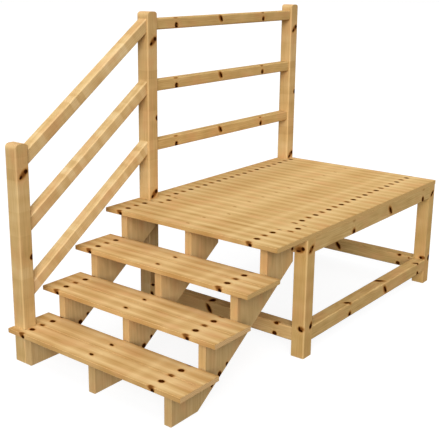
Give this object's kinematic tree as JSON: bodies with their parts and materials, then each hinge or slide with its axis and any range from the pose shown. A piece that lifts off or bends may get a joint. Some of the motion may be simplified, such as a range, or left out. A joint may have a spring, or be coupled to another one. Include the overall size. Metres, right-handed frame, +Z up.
{
  "type": "wooden deck stairs",
  "caption": "Timber stairs of open treads on sawtooth stringers up to a raised board deck on legs, with a three-rail handrail along the left side.",
  "frame": {"origin": "centre of the footprint, on the ground", "axes": "+Y in the direction of ascent, +X to the right as one goes up, +Z up"},
  "size_m": [1.2, 2.639, 1.818],
  "materials": {
    "post_timber": "planed knotty pine",
    "stringer_timber": "planed knotty pine",
    "board_timber": "planed knotty pine",
    "rail_timber": "planed knotty pine",
    "frame_timber": "planed knotty pine"
  },
  "bodies": {
    "root": {"beam_back": "frame_timber", "beam_front": "frame_timber", "beam_left": "frame_timber", "beam_right": "frame_timber", "deck_board_1": "board_timber", "deck_board_10": "board_timber", "deck_board_11": "board_timber", "deck_board_2": "board_timber", "deck_board_3": "board_timber", "deck_board_4": "board_timber", "deck_board_5": "board_timber", "deck_board_6": "board_timber", "deck_board_7": "board_timber", "deck_board_8": "board_timber", "deck_board_9": "board_timber", "deck_joist": "frame_timber", "deck_post_back_left": "post_timber", "deck_post_front_left": "post_timber", "deck_rail_bottom": "rail_timber", "deck_rail_middle": "rail_timber", "deck_rail_top": "rail_timber", "landing_tread": "board_timber", "leg_back_right": "post_timber", "leg_front_right": "post_timber", "newel_post": "post_timber", "stair_rail_bottom": "rail_timber", "stair_rail_middle": "rail_timber", "stair_rail_top": "rail_timber", "stretcher_back": "frame_timber", "stretcher_front": "frame_timber", "stretcher_right": "frame_timber", "stringer_left": "stringer_timber", "stringer_middle": "stringer_timber", "stringer_right": "stringer_timber", "tread_1": "board_timber", "tread_2": "board_timber", "tread_3": "board_timber"}
  },
  "joints": []
}
